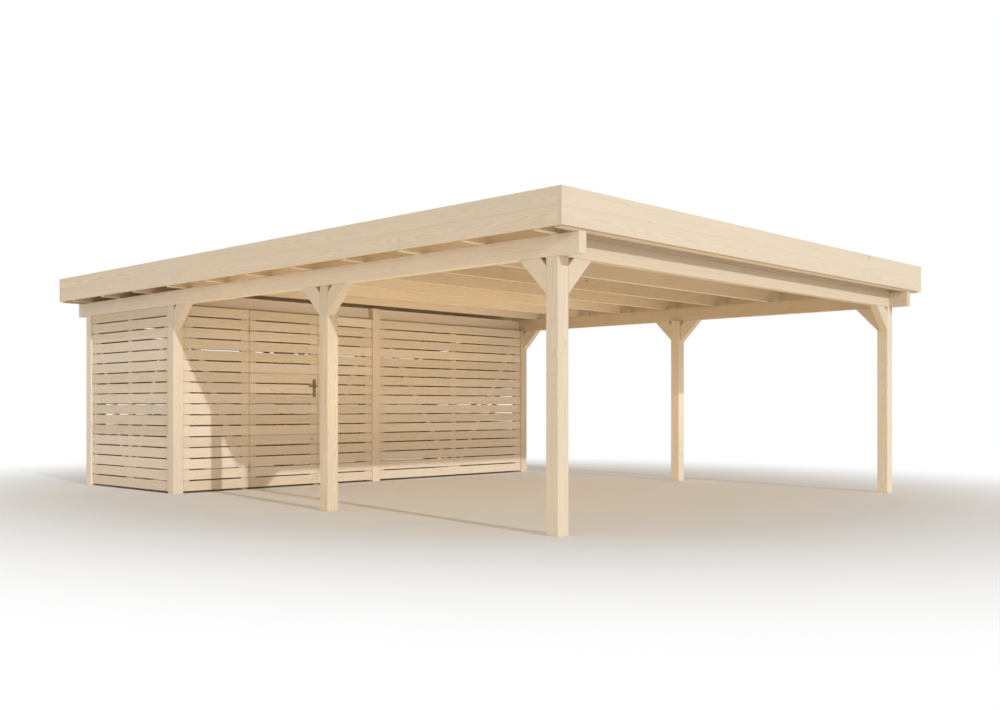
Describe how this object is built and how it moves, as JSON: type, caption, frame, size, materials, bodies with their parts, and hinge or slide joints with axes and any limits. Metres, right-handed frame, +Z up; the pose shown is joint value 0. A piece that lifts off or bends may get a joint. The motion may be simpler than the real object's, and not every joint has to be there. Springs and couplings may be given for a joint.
{
  "type": "flat-roofed double timber carport with a slatted store room",
  "caption": "Flat-roofed double timber carport on squared posts with knee braces, and a slatted full-width store room with a hinged door across its rear.",
  "frame": {"origin": "on the ground under the middle of the roof", "axes": "+Z up, -Y out of the entrance, +X to the right of someone driving in"},
  "size_m": [6.126, 8.026, 2.499],
  "materials": {
    "frame_timber": "planed, untreated",
    "roof_timber": "planed, untreated",
    "fascia_timber": "planed, untreated",
    "wall_boards": "planed, untreated",
    "roof_covering": "matt sheet",
    "hinge_steel": "zinc plated",
    "handle_metal": "satin dark bronze"
  },
  "bodies": {
    "frame": {"front_left_post": "frame_timber", "front_right_post": "frame_timber", "mid_left_post": "frame_timber", "mid_right_post": "frame_timber", "store_left_post": "frame_timber", "store_right_post": "frame_timber", "rear_left_post": "frame_timber", "rear_right_post": "frame_timber", "store_middle_post": "frame_timber", "rear_middle_post": "frame_timber", "left_purlin": "frame_timber", "right_purlin": "frame_timber", "front_beam": "frame_timber", "store_beam": "frame_timber", "rear_beam": "frame_timber", "left_braces": "frame_timber", "right_braces": "frame_timber", "front_braces": "frame_timber", "rafters": "roof_timber", "rim_rafters": "roof_timber", "roof_deck": "roof_timber", "roof_covering": "roof_covering", "covering_upstands": "roof_covering", "front_fascia": "fascia_timber", "rear_fascia": "fascia_timber", "left_fascia": "fascia_timber", "right_fascia": "fascia_timber", "store_panel_left": "wall_boards", "store_panel_middle": "wall_boards", "store_panel_right": "wall_boards", "rear_panel_left": "wall_boards", "rear_panel_right": "wall_boards", "left_wall_panel": "wall_boards", "right_wall_panel": "wall_boards", "door_jambs": "wall_boards", "frame_hinges": "hinge_steel"},
    "door": {"door_leaf": "wall_boards", "door_hinges": "hinge_steel", "outer_handle_plate": "handle_metal", "inner_handle_plate": "handle_metal", "key_cylinder": "hinge_steel"},
    "lever": {"lever_spindle": "handle_metal", "outer_grip": "handle_metal", "inner_grip": "handle_metal"}
  },
  "joints": [
    {"name": "door_swing", "type": "hinge", "parent": "frame", "child": "door", "pos_m": [-1.868, 1.718, 1.038], "axis": [0, 0, -1], "range_deg": [0, 105]},
    {"name": "lever_turn", "type": "hinge", "parent": "door", "child": "lever", "pos_m": [-0.9575, 1.7525, 1.195], "axis": [0, -1, 0], "range_deg": [0, 40], "stiffness_Nm_per_rad": 1.5, "springref_deg": -28.65}
  ]
}
